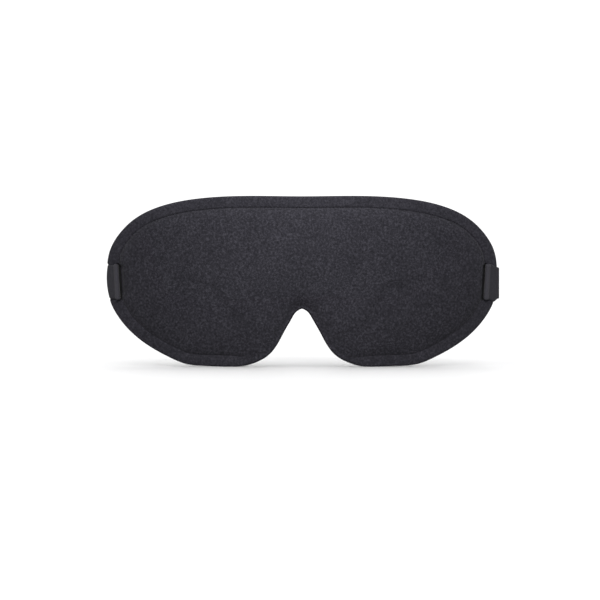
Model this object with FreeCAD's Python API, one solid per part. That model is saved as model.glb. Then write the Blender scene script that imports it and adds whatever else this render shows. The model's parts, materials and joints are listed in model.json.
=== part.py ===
"""Contoured sleep eye mask with a threaded elastic head strap, in millimetres.

The row frame: +Z up, the front of the mask faces -Y, the head comes from +Y, and +X is on the
viewer's right. The origin is the crown of the nose notch, on the middle of the pressed rim.
Every ply of the mask follows an upright cylinder of radius WRAP_RADIUS whose axis lies behind it,
so a ply is an outline prism cut between two cylinders, and "front" is how far a surface stands in
front of the middle of the rim.
"""

import FreeCAD, Part

import math
import os

from FreeCAD import Vector

# ---- driving dimensions ------------------------------------------------------------------------
NOTCH_HEIGHT = 35.1          # crown of the nose notch above the cheek lobes
WRAP_RADIUS = 420.0          # gentle bend of the whole mask round the face
PLY_GAP = 0.05               # bond line between two plies

RIM_HALF = 1.4               # half the thickness of the pressed rim
COVER_T = 0.8                # knitted front cover
FILM_T = 0.4                 # blackout film
LINING_T = 0.75              # face-side lining
PANEL_RISE = 8.0             # raised front panel above the middle of the rim
PANEL_FILLET = 4.5

PAD_REAR_Y = 14.0            # rear surface of the face-side pad, at the centre
PAD_REAR_RADIUS = 800.0      # the pad thins towards the temples
PAD_FILLET = 3.0

EYE_X = 41.0                 # centre of each eye cup
EYE_Z = 14.5
EYE_MOUTH = (29.0, 23.0)     # half axes of the mouth and of the floor of a cup
EYE_FLOOR = (21.5, 16.0)
EYE_FLOOR_Y = 3.9
EYE_TURN = math.degrees(math.asin(EYE_X / WRAP_RADIUS))
CUP_WALL = 0.9

STRAP_T = 1.1
STRAP_WIDTH = 20.4
STRAP_Z = 16.2               # height of the middle of the strap
SLOT_X = (109.5, 112.0)      # inner and outer wall of a strap slot
SLOT_HEIGHT = 22.0
EDGE_LEAN = 5.0              # degrees: slots and folds follow the leaning edge of the mask
RELIEF_X = 116.7             # edge of the rim where the strap presses it in
FOLD_LEFT_X = 117.45         # middle of the strap where it wraps the left edge, tight
FOLD_RIGHT_X = 119.2         # and the right edge, slack and upright

ARM_X = 116.4                # the two side arms run straight back
ARM_END_Y = 92.0             # where they meet the rear band
CORNER_RADIUS = 58.0
CORNER_TURN = 70.0           # degrees
SWING_Y = 26.0               # axis about which the strap swings up and down
SWING_RADIUS = 11.0
SWING_GAP = 0.15
LAYER_X = ARM_X - STRAP_T - 0.12   # inner layer of strap, against the arm
SEWN_X = LAYER_X - STRAP_T - 0.1   # the strap's own end, sewn down on that layer
TAIL_END_Y = 57.0            # cut end of the strap behind the left slot

SLIDER_Y = 58.0
SLIDER_LENGTH = 20.0
SLIDER_HEIGHT = 26.4
SLIDER_RAIL = 2.6            # height of the two rails
SLIDER_BAR = 3.0             # length of each bar along the strap
SLIDER_BAR_T = 1.35
SLIDER_CLEAR = 0.15          # bars clear of the strap
LOOP_TAIL_Y = 44.5           # sewn-down end of the strap in front of the slider's bar

WING_LENGTH = 24.0           # nose wings: soft fins beside the notch
WING_HEIGHT = 8.5
WING_T = 2.4
WING_GAP = 0.6               # clear of the pad, so that a wing can lean
WING_X, WING_Z = 19.4, 20.6  # middle of a wing: x, z above the lobes
WING_SLOPE = 122.0           # degrees from +X, along the side of the notch

STITCH = (2.2, 0.35, 0.3)    # length, width and height of one visible stitch
STITCH_PITCH = 3.0

# Half of the outline, from the top centre round the temple and the cheek lobe to the crown of the
# nose notch: x, z above the lobes, and how far inside it the raised panel ends there.
HALF_OUTLINE = (
    (0.0, 103.8, 7.3),
    (27.0, 104.05, 7.3),
    (62.0, 102.6, 7.4),
    (86.4, 97.7, 7.5),
    (101.2, 90.4, 7.6),
    (111.5, 80.6, 7.8),
    (117.0, 70.3, 8.6),
    (118.5, 60.0, 9.8),
    (118.4, 49.5, 9.8),
    (117.0, 39.0, 9.2),
    (113.5, 31.5, 8.2),
    (106.0, 21.9, 8.0),
    (93.7, 12.0, 7.9),
    (80.2, 4.8, 7.9),
    (70.9, 1.5, 7.9),
    (59.0, 0.4, 7.8),
    (46.0, 0.05, 7.2),
    (36.0, 0.4, 5.5),
    (27.9, 2.7, 3.9),
    (20.2, 7.6, 2.8),
    (14.6, 14.9, 2.4),
    (10.7, 22.2, 2.4),
    (6.5, 29.5, 2.4),
    (3.0, 33.9, 2.4),
    (0.0, 35.1, 2.4),
)
FRONT_Y, BACK_Y = -40.0, 60.0   # ends of every outline prism


# ---- helpers -----------------------------------------------------------------------------------
def level(z_above_lobes):
    """A height above the cheek lobes, in the row frame."""
    return z_above_lobes - NOTCH_HEIGHT


def on_wrap(x, front):
    """The point at x that stands `front` in front of the middle of the rim, as (x, y)."""
    return x, WRAP_RADIUS - math.sqrt((WRAP_RADIUS + front) ** 2 - x ** 2)


def half_curve(points, start, end):
    """A smooth curve through points in the plane of the face, leaving and arriving level."""
    curve = Part.BSplineCurve()
    curve.interpolate(
        Points=[Vector(x, FRONT_Y, z) for x, z in points],
        InitialTangent=Vector(start, 0, 0),
        FinalTangent=Vector(end, 0, 0),
    )
    return curve


def inset_half(share, extra):
    """The right half of the outline, moved inwards by a share of the panel's inset plus extra."""
    curve = half_curve([(x, level(z)) for x, z, _ in HALF_OUTLINE], 1, -1)
    moved = []
    for x, z, inset in HALF_OUTLINE:
        place = Vector(x, FRONT_Y, level(z))
        tangent = curve.tangent(curve.parameter(place))[0]
        by = share * inset + extra
        moved.append((x + tangent.z * by, place.z - tangent.x * by))
    moved[0] = (0.0, moved[0][1])
    moved[-1] = (0.0, moved[-1][1])
    return moved


def prism(share=0.0, extra=0.0):
    """The whole outline, inset, as a prism along Y."""
    right = half_curve(inset_half(share, extra), 1, -1).toShape()
    wire = Part.Wire(Part.__sortEdges__([right, mirrored(right)]))
    return Part.Face(wire).extrude(Vector(0, BACK_Y - FRONT_Y, 0))


def wrap_cylinder(front):
    """Everything behind the surface that stands `front` in front of the middle of the rim."""
    return Part.makeCylinder(WRAP_RADIUS + front, 300, Vector(0, WRAP_RADIUS, -100))


def ply(solid, front, back):
    """The part of a prism between two such surfaces."""
    return solid.common(wrap_cylinder(front)).cut(wrap_cylinder(back))


def rear_cylinder(y):
    """Everything behind a pad whose rear surface passes through y at the centre."""
    return Part.makeCylinder(PAD_REAR_RADIUS, 300, Vector(0, y + PAD_REAR_RADIUS, -100))


def mirrored(shape):
    return shape.mirror(Vector(0, 0, 0), Vector(1, 0, 0))


def box(low, high):
    size = [end - start for start, end in zip(low, high)]
    return Part.makeBox(*size, Vector(*low))


def edges_near(solid, is_edge):
    """Edges of a solid whose middle passes a test."""
    found = []
    for edge in solid.Edges:
        middle = edge.valueAt((edge.FirstParameter + edge.LastParameter) / 2)
        if is_edge(middle):
            found.append(edge)
    return found


# ---- the mask ----------------------------------------------------------------------------------
def raised_panel(inset, front):
    """The raised block inside the rim, with its front edge rounded."""
    block = ply(prism(1.0, inset), front, -RIM_HALF)

    def on_front(p):
        return abs(math.hypot(p.x, p.y - WRAP_RADIUS) - WRAP_RADIUS - front) < 0.01

    return block.makeFillet(PANEL_FILLET, edges_near(block, on_front))


def pad_block(inset, rear_y, front):
    """The block behind the rim, with its rear edge rounded."""
    block = prism(1.0, inset).common(wrap_cylinder(front)).cut(rear_cylinder(rear_y))

    def on_rear(p):
        radius = math.hypot(p.x, p.y - rear_y - PAD_REAR_RADIUS)
        return abs(radius - PAD_REAR_RADIUS) < 0.01

    return block.makeFillet(PAD_FILLET, edges_near(block, on_rear))


def strap_slots():
    """The two leaning slots through the rim and the pressed-in edges beside them."""
    half = SLOT_HEIGHT / 2
    slot = box((SLOT_X[0], -10, STRAP_Z - half), (SLOT_X[1], 30, STRAP_Z + half))
    relief = box((RELIEF_X, -10, STRAP_Z - half), (RELIEF_X + 10, 30, STRAP_Z + half))
    both = slot.fuse(relief)
    both.rotate(Vector(RELIEF_X, 0, STRAP_Z), Vector(0, 1, 0), EDGE_LEAN)
    return both.fuse(mirrored(both))


def ellipse_wire(half_axes, y, shrink):
    """An oval of an eye hollow, at y."""
    middle = Vector(EYE_X, y, EYE_Z)
    edge = Part.Ellipse(middle, half_axes[0] - shrink, half_axes[1] - shrink).toShape()
    edge.rotate(middle, Vector(1, 0, 0), 90)
    return Part.Wire([edge])


def eye_hollow(shrink, floor_y):
    """A tapered oval bowl on the right that opens backwards, square to the plies there."""
    mouth_y = PAD_REAR_Y + 6.0
    reach = (mouth_y - EYE_FLOOR_Y) / (PAD_REAR_Y - EYE_FLOOR_Y)
    wide = [f + (m - f) * reach for m, f in zip(EYE_MOUTH, EYE_FLOOR)]
    share = (floor_y - EYE_FLOOR_Y) / (PAD_REAR_Y - EYE_FLOOR_Y)
    floor = [f + (m - f) * share for m, f in zip(EYE_MOUTH, EYE_FLOOR)]
    wires = [ellipse_wire(floor, floor_y, shrink), ellipse_wire(wide, mouth_y, shrink)]
    hollow = Part.makeLoft(wires, True, True)
    hollow.rotate(Vector(EYE_X, EYE_FLOOR_Y, EYE_Z), Vector(0, 0, 1), EYE_TURN)
    return hollow


def mask_plies():
    """Every ply of the mask, from the front to the face."""
    slots = strap_slots()
    whole = prism()
    film_front = RIM_HALF - COVER_T - PLY_GAP
    foam_front = film_front - FILM_T - PLY_GAP
    lining_front = -RIM_HALF + LINING_T
    foam_back = lining_front + PLY_GAP

    def raised_ply(front, back, inset, rise, next_inset, next_rise):
        outer = ply(whole, front, back).fuse(raised_panel(inset, rise))
        inner = raised_panel(next_inset, next_rise)
        return outer.cut(inner).cut(wrap_cylinder(back)).cut(slots)

    film_inset = COVER_T + PLY_GAP
    foam_inset = film_inset + FILM_T + PLY_GAP
    film_rise = PANEL_RISE - film_inset
    foam_rise = PANEL_RISE - foam_inset
    cover = raised_ply(RIM_HALF, RIM_HALF - COVER_T, 0.0, PANEL_RISE,
                       film_inset - PLY_GAP, film_rise + PLY_GAP)
    film = raised_ply(film_front, film_front - FILM_T, film_inset, film_rise,
                      foam_inset - PLY_GAP, foam_rise + PLY_GAP)
    foam = ply(whole, foam_front, foam_back).fuse(raised_panel(foam_inset, foam_rise))
    foam = foam.cut(wrap_cylinder(foam_back)).cut(slots)

    hollows = eye_hollow(0.0, EYE_FLOOR_Y)
    hollows = hollows.fuse(mirrored(hollows))
    pad_inset = LINING_T + PLY_GAP
    cushion = pad_block(pad_inset, PAD_REAR_Y - pad_inset, foam_back - PLY_GAP).cut(hollows)
    covering = ply(whole, lining_front, -RIM_HALF)
    covering = covering.fuse(pad_block(0.0, PAD_REAR_Y, -RIM_HALF + 0.1))
    shadow = pad_block(LINING_T, PAD_REAR_Y - LINING_T, foam_back + 1.0)
    lining = covering.cut(shadow).cut(hollows).cut(slots)

    cup = eye_hollow(PLY_GAP, EYE_FLOOR_Y + PLY_GAP)
    cup = cup.cut(eye_hollow(PLY_GAP + CUP_WALL, EYE_FLOOR_Y + PLY_GAP + CUP_WALL))
    cup = cup.cut(rear_cylinder(PAD_REAR_Y))
    return {
        "front_cover": cover,
        "blackout_film": film,
        "foam_core": foam,
        "face_cushion": cushion,
        "face_lining": lining,
        "eye_cup_right": cup,
        "eye_cup_left": mirrored(cup),
    }


def nose_wing():
    """The right nose wing: a soft rounded fin that stands on the pad beside the notch."""
    half = WING_LENGTH / 2
    rise = Part.BSplineCurve()
    rise.interpolate([
        Vector(-half, 1.0, 0),
        Vector(-0.72 * half, 0.62 * WING_HEIGHT, 0),
        Vector(0, WING_HEIGHT, 0),
        Vector(0.72 * half, 0.62 * WING_HEIGHT, 0),
        Vector(half, 1.0, 0),
    ])
    foot = Part.makePolygon([Vector(half, 1, 0), Vector(half, 0, 0), Vector(-half, 0, 0),
                             Vector(-half, 1, 0)])
    fin = Part.Face(Part.Wire([rise.toShape()] + foot.Edges)).extrude(Vector(0, 0, WING_T))
    fin = fin.makeFillet(WING_T * 0.4, edges_near(fin, lambda p: p.y > 2))
    fin.translate(Vector(0, 0, -WING_T / 2))
    fin.rotate(Vector(0, 0, 0), Vector(0, 1, 0), -WING_SLOPE)
    pad_y = PAD_REAR_Y + WING_X ** 2 / (2 * PAD_REAR_RADIUS)
    fin.translate(Vector(WING_X, pad_y + WING_GAP, level(WING_Z)))
    return fin


# ---- the strap ---------------------------------------------------------------------------------
def band_wire(corners, z):
    """The outline, seen from above, of a strap that follows (x, y, bend radius) corners."""
    points = [Vector(x, y, z) for x, y, _ in corners]
    start, end = points[0], points[-1]
    sides = ([], [])
    here = start
    for k in range(1, len(points)):
        ahead = (points[k] - points[k - 1]).normalize()
        left = Vector(-ahead.y, ahead.x, 0)
        if k == len(points) - 1:
            bend, stop = None, end
        else:
            after = (points[k + 1] - points[k]).normalize()
            turn = math.atan2(ahead.cross(after).z, ahead.dot(after))
            radius = corners[k][2]
            reach = radius * math.tan(abs(turn) / 2)
            stop = points[k] - ahead * reach
            centre = stop + left * math.copysign(radius, turn)
            bend = (centre, turn, stop)
            resume = points[k] + after * reach
        for side, sign in zip(sides, (1, -1)):
            shift = left * (sign * STRAP_T / 2)
            side.append(Part.makeLine(here + shift, stop + shift))
            if bend:
                arm_at = stop + shift - centre
                spin = FreeCAD.Rotation(Vector(0, 0, 1), math.degrees(turn / 2))
                middle = centre + spin.multVec(arm_at)
                finish = centre + (spin * spin).multVec(arm_at)
                side.append(Part.Arc(stop + shift, middle, finish).toShape())
        if bend:
            here = resume
    caps = [
        Part.makeLine(sides[0][-1].lastVertex().Point, sides[1][-1].lastVertex().Point),
        Part.makeLine(sides[1][0].firstVertex().Point, sides[0][0].firstVertex().Point),
    ]
    return Part.Wire(sides[0] + [caps[0]] + sides[1][::-1] + [caps[1]])


def band(low_corners, high_corners=None):
    """A strap that stands on edge, between its outlines at its lower and its upper edge."""
    half = STRAP_WIDTH / 2
    low = band_wire(low_corners, STRAP_Z - half)
    if high_corners is None:
        return Part.Face(low).extrude(Vector(0, 0, STRAP_WIDTH))
    return Part.makeLoft([low, band_wire(high_corners, STRAP_Z + half)], True, True)


def straight_band(x, y_start, y_end):
    return band([(x, y_start, 0), (x, y_end, 0)])


def swing_disc(radius):
    """A disc about the strap's swing axis, across the whole object."""
    return Part.makeCylinder(radius, 300, Vector(-150, SWING_Y, STRAP_Z), Vector(1, 0, 0))


def threaded_corners(fold_x, lean, fold_lean):
    """The strap's way through the right slot and round the edge, as far as the swing disc."""
    slot_x = SLOT_X[1] - 0.25 - STRAP_T / 2 + lean
    edge_x = fold_x + fold_lean
    far = SWING_Y + SWING_RADIUS + 3.0
    over = RIM_HALF + 0.3 + STRAP_T / 2
    return [
        (LAYER_X, far, 0),
        (LAYER_X, SWING_Y + 4.5, 6.0),
        (slot_x, SWING_Y - 6.5, 5.0),
        (*on_wrap(slot_x, over + 0.9), 0.95),
        (*on_wrap(slot_x + 3.6, over + 0.15), 5.0),
        (*on_wrap(edge_x, over), 1.1),
        (edge_x, SWING_Y - 5.5, 5.0),
        (ARM_X, SWING_Y + 2.5, 6.0),
        (ARM_X, far, 0),
    ]


def threaded_strap(fold_x, follows_edge):
    lean = math.tan(math.radians(EDGE_LEAN)) * STRAP_WIDTH / 2
    fold_lean = lean if follows_edge else 0.0
    whole = band(threaded_corners(fold_x, -lean, -fold_lean),
                 threaded_corners(fold_x, lean, fold_lean))
    keep = swing_disc(SWING_RADIUS).fuse(box((100, -20, -30), (130, SWING_Y, 60)))
    return whole.common(keep)


def rear_band():
    """The band round the back of the head: two corner arcs and one wide rear arc."""
    turn = math.radians(CORNER_TURN)
    corner = Vector(ARM_X - CORNER_RADIUS, ARM_END_Y, STRAP_Z - STRAP_WIDTH / 2)
    knee_x = corner.x + CORNER_RADIUS * math.cos(turn)
    rear_radius = knee_x / math.cos(turn)
    rear = Vector(0, corner.y + (CORNER_RADIUS - rear_radius) * math.sin(turn), corner.z)

    def edge(shift):
        arcs = []
        for centre, radius, start, end in (
            (corner, CORNER_RADIUS + shift, 0, turn),
            (rear, rear_radius + shift, turn, math.pi / 2),
        ):
            way = [centre + Vector(math.cos(a), math.sin(a), 0) * radius
                   for a in (start, (start + end) / 2, end)]
            arcs.append(Part.Arc(*way).toShape())
        return arcs + [mirrored(arc) for arc in arcs]

    edges = edge(STRAP_T / 2) + edge(-STRAP_T / 2)
    for side in (1, -1):
        outer = Vector(side * (ARM_X + STRAP_T / 2), ARM_END_Y, corner.z)
        edges.append(Part.makeLine(outer, outer - Vector(side * STRAP_T, 0, 0)))
    wire = Part.Wire(Part.__sortEdges__(edges))
    return Part.Face(wire).extrude(Vector(0, 0, STRAP_WIDTH))


def behind_disc(strap):
    return strap.cut(swing_disc(SWING_RADIUS + SWING_GAP))


def slider_faces():
    """The x of the centre bar's inner and outer face, and of the end bars' inner and outer."""
    centre_outer = LAYER_X - STRAP_T / 2 - SLIDER_CLEAR
    end_inner = ARM_X + STRAP_T / 2 + SLIDER_CLEAR
    return centre_outer - SLIDER_BAR_T, centre_outer, end_inner, end_inner + SLIDER_BAR_T


def slider():
    """A slide adjuster: end bars pass outside the arm and the centre bar passes inside it."""
    low_x, centre_outer, end_inner, high_x = slider_faces()
    half_l, half_h = SLIDER_LENGTH / 2, SLIDER_HEIGHT / 2
    window = half_h - SLIDER_RAIL
    frame = box((low_x, SLIDER_Y - half_l, STRAP_Z - half_h),
                (high_x, SLIDER_Y + half_l, STRAP_Z + half_h))
    across = edges_near(frame, lambda p: abs(p.x - (low_x + high_x) / 2) < 0.01)
    frame = frame.makeFillet(3.0, across)
    inside = box((low_x - 1, SLIDER_Y - half_l + SLIDER_BAR, STRAP_Z - window),
                 (high_x + 1, SLIDER_Y + half_l - SLIDER_BAR, STRAP_Z + window))
    under_ends = box((low_x - 1, SLIDER_Y - half_l - 1, STRAP_Z - window),
                     (end_inner, SLIDER_Y + half_l + 1, STRAP_Z + window))
    centre = box((low_x, SLIDER_Y - SLIDER_BAR / 2, STRAP_Z - window - 0.5),
                 (centre_outer, SLIDER_Y + SLIDER_BAR / 2, STRAP_Z + window + 0.5))
    return frame.cut(inside).cut(under_ends).fuse(centre).removeSplitter()


def end_loop():
    """The strap's end, turned round the slider's centre bar and lying back on itself."""
    low_x, centre_outer, _, _ = slider_faces()
    inner_x = low_x - SLIDER_CLEAR - STRAP_T / 2
    back = SLIDER_Y + SLIDER_BAR / 2 + SLIDER_CLEAR + STRAP_T / 2 + 0.25
    return band([
        (LAYER_X, SLIDER_Y - SLIDER_BAR / 2 + 0.1, 0),
        (LAYER_X, back, 1.2),
        (inner_x, back, 1.2),
        (inner_x, SLIDER_Y - 2.6, 2.0),
        (SEWN_X, SLIDER_Y - 6.2, 2.0),
        (SEWN_X, LOOP_TAIL_Y, 0),
    ])


def stitches(x, outward, y_low, y_high, half_height):
    """A sewn box of single stitches that lie on the face of a strap whose middle is at x."""
    length, width, height = STITCH
    face = x + outward * (STRAP_T / 2 + 0.02)
    low_x = min(face, face + outward * height)
    columns = int(round((y_high - y_low) / STITCH_PITCH))
    rows = int(round(2 * half_height / STITCH_PITCH))
    places = []
    for z in (-half_height, half_height):
        for i in range(columns):
            y = y_low + (y_high - y_low) * (i + 0.5) / columns
            places.append((y, z, length, width))
    for y in (y_low, y_high):
        for i in range(rows):
            z = half_height * (2 * (i + 0.5) / rows - 1)
            places.append((y, z, width, length))
    solids = []
    for y, z, long, tall in places:
        z += STRAP_Z
        solids.append(box((low_x, y - long / 2, z - tall / 2),
                          (low_x + height, y + long / 2, z + tall / 2)))
    return Part.makeCompound(solids)


def strap_pieces():
    """Every piece of the strap, its slide adjuster and its visible stitches."""
    arm = behind_disc(straight_band(ARM_X, SWING_Y, ARM_END_Y - 0.05))
    tail = behind_disc(straight_band(LAYER_X, SWING_Y, TAIL_END_Y))
    layer = behind_disc(straight_band(LAYER_X, SWING_Y, SLIDER_Y - SLIDER_BAR / 2))
    return {
        "strap_thread_right": threaded_strap(FOLD_RIGHT_X, False),
        "strap_thread_left": mirrored(threaded_strap(FOLD_LEFT_X, True)),
        "strap_arm_right": arm,
        "strap_arm_left": mirrored(arm),
        "strap_tail_left": mirrored(tail),
        "strap_rear_band": rear_band(),
        "strap_return_layer": layer,
        "strap_end_loop": end_loop(),
        "slide_adjuster": slider(),
        "tail_stitches": mirrored(stitches(ARM_X, 1, 42.0, 54.0, 7.5)),
        "loop_stitches": stitches(SEWN_X, -1, 46.2, 49.2, 7.5),
    }


def main():
    os.makedirs("parts", exist_ok=True)
    for old in os.listdir("parts"):
        if old.endswith(".step"):
            os.remove(os.path.join("parts", old))
    nodes = mask_plies()
    wing = nose_wing()
    nodes["nose_wing_right"] = wing
    nodes["nose_wing_left"] = mirrored(wing)
    nodes.update(strap_pieces())
    for name, shape in nodes.items():
        solids = len(shape.Solids)
        print(f"{name:22s} valid {shape.isValid()} solids {solids} volume {shape.Volume:9.1f}")
        shape.exportStep(os.path.join("parts", name + ".step"))


main()
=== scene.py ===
"""The looks of a contoured sleep eye mask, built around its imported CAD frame.

The mask's front faces -Y, the wearer's head comes from +Y, and +Z is up. Shapes are worked out
in millimetres in the row frame and become metres when a mesh is made.
"""

import itertools
import json
import math

import bmesh
import bpy
import numpy as np
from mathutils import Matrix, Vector
from mathutils.geometry import delaunay_2d_cdt

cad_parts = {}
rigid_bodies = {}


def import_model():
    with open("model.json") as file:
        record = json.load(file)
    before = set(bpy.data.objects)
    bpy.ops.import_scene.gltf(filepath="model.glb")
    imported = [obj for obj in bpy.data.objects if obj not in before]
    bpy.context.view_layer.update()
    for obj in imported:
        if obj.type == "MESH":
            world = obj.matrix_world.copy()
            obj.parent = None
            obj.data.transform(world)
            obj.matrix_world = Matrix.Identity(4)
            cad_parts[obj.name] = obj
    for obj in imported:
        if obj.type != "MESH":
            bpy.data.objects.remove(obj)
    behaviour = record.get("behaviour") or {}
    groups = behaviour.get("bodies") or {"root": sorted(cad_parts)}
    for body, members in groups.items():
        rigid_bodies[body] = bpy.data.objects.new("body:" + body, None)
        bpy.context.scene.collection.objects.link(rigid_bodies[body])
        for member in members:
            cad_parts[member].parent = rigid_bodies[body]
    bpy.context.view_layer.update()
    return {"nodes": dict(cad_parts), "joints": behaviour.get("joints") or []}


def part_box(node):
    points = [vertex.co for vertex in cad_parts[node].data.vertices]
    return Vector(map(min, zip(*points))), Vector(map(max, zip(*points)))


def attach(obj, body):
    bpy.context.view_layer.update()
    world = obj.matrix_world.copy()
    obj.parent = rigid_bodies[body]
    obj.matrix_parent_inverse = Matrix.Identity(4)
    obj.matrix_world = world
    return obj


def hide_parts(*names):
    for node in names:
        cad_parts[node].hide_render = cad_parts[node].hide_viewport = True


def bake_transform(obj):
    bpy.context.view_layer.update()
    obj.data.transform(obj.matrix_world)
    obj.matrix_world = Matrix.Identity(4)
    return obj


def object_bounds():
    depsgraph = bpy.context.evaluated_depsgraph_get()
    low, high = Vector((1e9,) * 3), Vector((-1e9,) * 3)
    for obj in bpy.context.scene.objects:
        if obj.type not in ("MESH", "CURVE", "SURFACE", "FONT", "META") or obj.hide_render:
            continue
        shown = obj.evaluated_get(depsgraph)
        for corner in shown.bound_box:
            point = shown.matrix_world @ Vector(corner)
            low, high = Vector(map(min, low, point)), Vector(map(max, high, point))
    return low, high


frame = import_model()

MM = 0.001
SHARP_ANGLE = math.radians(75)    # cut ends stay crisp in the smooth shading


def node_box(node):
    """The lowest and highest corner of a CAD node, in millimetres."""
    low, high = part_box(node)
    return np.array(low) / MM, np.array(high) / MM


# ---- places read from the frame --------------------------------------
ARM_LOW, ARM_HIGH = node_box("strap_arm_right")
LAYER_LOW, LAYER_HIGH = node_box("strap_return_layer")
SLIDER_LOW, SLIDER_HIGH = node_box("slide_adjuster")
LOOP_LOW, LOOP_HIGH = node_box("strap_end_loop")
TAIL_HIGH = node_box("strap_tail_left")[1]
SWING = next(j for j in frame["joints"] if j["name"] == "strap_swing")

LOBES_Z = node_box("front_cover")[0][2]
STRAP_T = ARM_HIGH[0] - ARM_LOW[0]
STRAP_W = ARM_HIGH[2] - ARM_LOW[2]
STRAP_Z = (ARM_HIGH[2] + ARM_LOW[2]) / 2
ARM_X = (ARM_HIGH[0] + ARM_LOW[0]) / 2
ARM_END_Y = node_box("strap_rear_band")[0][1]
LAYER_X = (LAYER_HIGH[0] + LAYER_LOW[0]) / 2
SWING_Y = SWING["pos_m"][1] / MM
JOIN_Y = SWING_Y + 11.0    # the threaded pieces hand over to the arms here
SLIDER_Y = (SLIDER_LOW[1] + SLIDER_HIGH[1]) / 2

# ---- the mask's own dimensions ---------------------------------------
WRAP_RADIUS = 420.0                   # the upright cylinder that the rim follows
RIM_HALF = 1.4                        # half the thickness of the rim
RIM_PUFF, PUFF_START = 0.2, 0.6       # the rim swells between its edge and the groove
PAD_REAR_Y, PAD_SAG = 14.0, 1600.0    # the pad's rear is at y = the first + x squared / the second
PAD_CROWN, PAD_WALL = 0.7, 9.5        # its swell, and the run of its side wall
EYE_X, EYE_Z = 40.4, 14.5             # middle of the mouth of an eye cup
EYE_A, EYE_B = 29.0, 23.0             # half axes of that mouth
EYE_FLOOR_Y, EYE_FLOOR_SLOPE = 4.9, 0.098
LIP_OUT, EYE_WALL = 2.6, 10.6         # a cup starts this far outside its mouth; run of its wall

SLOT_LEAN = math.tan(math.radians(3.5))
COVER_SLOT = (110.0, 112.9, 11.0)     # inner wall, outer wall and half height: it stands open
LINING_SLOT = (111.4, 112.9, 10.4)    # and the lining closes round the strap
SLOT_PRESS, SLOT_PRESS_RUN = 0.4, 1.1     # the rim is pressed down beside a slot
STRAP_SLOT_X = 112.0                  # middle of the strap in its slot
RELIEF_X = 116.85                     # the strap presses the left edge in to here
RELIEF_MARGIN, RELIEF_FADE = 0.8, 1.4     # a little past its own width
EDGE_LEAN = math.tan(math.radians(3.2))     # and the edge leans there
FOLD_LEFT_X, FOLD_RIGHT_X = 117.45, 119.85
FOLD_BOW = 1.15                       # the left fold bows out like the edge that it hugs
CREST = 1.25                          # the strap bulges where it leaves its slot

SHOULDER_RISE, SHOULDER_REACH = 2.9, 2.6     # the panel climbs out of the groove
CROWN_RISE = 4.4                             # and swells to its middle
GROOVE_DEPTH, REAR_GROOVE_DEPTH, GROOVE_HALF = 0.65, 0.45, 0.5
PRESSED_PAST, PRESSED_FADE = 0.9, 1.2        # the cloth is pressed to just inside the groove
GROOVE_RIM, GROOVE_RIM_FADE = 4.6, 2.2       # a rim narrower than this has no groove

OUTLINE_POINTS = 560
GRID_STEP = 2.6                   # between places inside the groove
GRID_ROWS = 0.87                  # rows of a staggered grid, as a share of its step
GRID_HALF, GRID_TOP = 119.0, 105  # half width of the grid, and its height over the lobes

# Half of the outline from the top centre round the temple and lobe to the crown of the notch:
# x, height above the lobes, width of the pressed rim there.
HALF_OUTLINE = (
    (0.0, 103.8, 7.3),
    (27.0, 104.05, 7.3),
    (62.0, 102.5, 7.4),
    (86.4, 97.5, 7.3),
    (101.2, 90.4, 7.0),
    (111.5, 80.6, 6.8),
    (117.3, 70.3, 7.0),
    (119.0, 60.0, 7.4),
    (118.6, 49.5, 7.5),
    (116.9, 39.0, 7.4),
    (113.2, 31.6, 7.2),
    (105.6, 22.1, 7.1),
    (93.3, 12.3, 7.1),
    (79.9, 5.1, 6.9),
    (70.9, 1.6, 6.8),
    (59.0, 0.4, 6.8),
    (46.0, 0.05, 6.8),
    (36.0, 0.4, 5.9),
    (27.9, 2.7, 3.9),
    (19.9, 7.5, 2.8),
    (14.3, 14.8, 2.4),
    (10.4, 22.1, 2.4),
    (6.2, 29.4, 2.4),
    (3.2, 33.7, 2.4),
    (1.3, 34.9, 2.4),
    (0.0, 35.4, 2.4),
)


# ---- small tools -----------------------------------------------------
def smooth(t):
    """An even ramp from 0 to 1, flat at both ends."""
    t = np.clip(t, 0.0, 1.0)
    return t * t * (3 - 2 * t)


def wrap_y(x, front):
    """y of the point at x that stands `front` in front of the middle of the rim."""
    return WRAP_RADIUS - np.sqrt((WRAP_RADIUS + front) ** 2 - np.asarray(x) ** 2)


def make_piece(name, points, faces, material, attributes=None, uvs=None):
    """A smooth-shaded mesh object from millimetre points. Faces are tuples or index arrays."""
    mesh = bpy.data.meshes.new(name)
    mesh.from_pydata((np.asarray(points) * MM).tolist(), [], [tuple(map(int, f)) for f in faces])
    mesh.polygons.foreach_set("use_smooth", [True] * len(mesh.polygons))
    for key, values in (attributes or {}).items():
        layer = mesh.attributes.new(key, "FLOAT", "POINT")
        layer.data.foreach_set("value", np.asarray(values, np.float32))
    if uvs is not None:
        loops = np.zeros(len(mesh.loops), np.int32)
        mesh.loops.foreach_get("vertex_index", loops)
        layer = mesh.uv_layers.new(name="weave")
        layer.data.foreach_set("uv", np.asarray(uvs, np.float32)[loops].ravel())
    mesh.materials.append(material)
    piece = bpy.data.objects.new(name, mesh)
    bpy.context.scene.collection.objects.link(piece)
    recalc = bmesh.new()
    recalc.from_mesh(mesh)
    bmesh.ops.recalc_face_normals(recalc, faces=recalc.faces)
    for edge in recalc.edges:
        if edge.is_manifold and edge.calc_face_angle() > SHARP_ANGLE:
            edge.smooth = False
    recalc.to_mesh(mesh)
    recalc.free()
    return piece


def tube_faces(stations, around, first=0):
    """Faces of a closed tube whose points are numbered round each station, from `first`."""
    faces = []
    for i in range(stations - 1):
        a, b = first + i * around, first + (i + 1) * around
        for k in range(around):
            j = (k + 1) % around
            faces.append((a + k, a + j, b + j, b + k))
    faces.append(tuple(range(first, first + around)))
    faces.append(tuple(range(first + (stations - 1) * around, first + stations * around))[::-1])
    return faces


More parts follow.
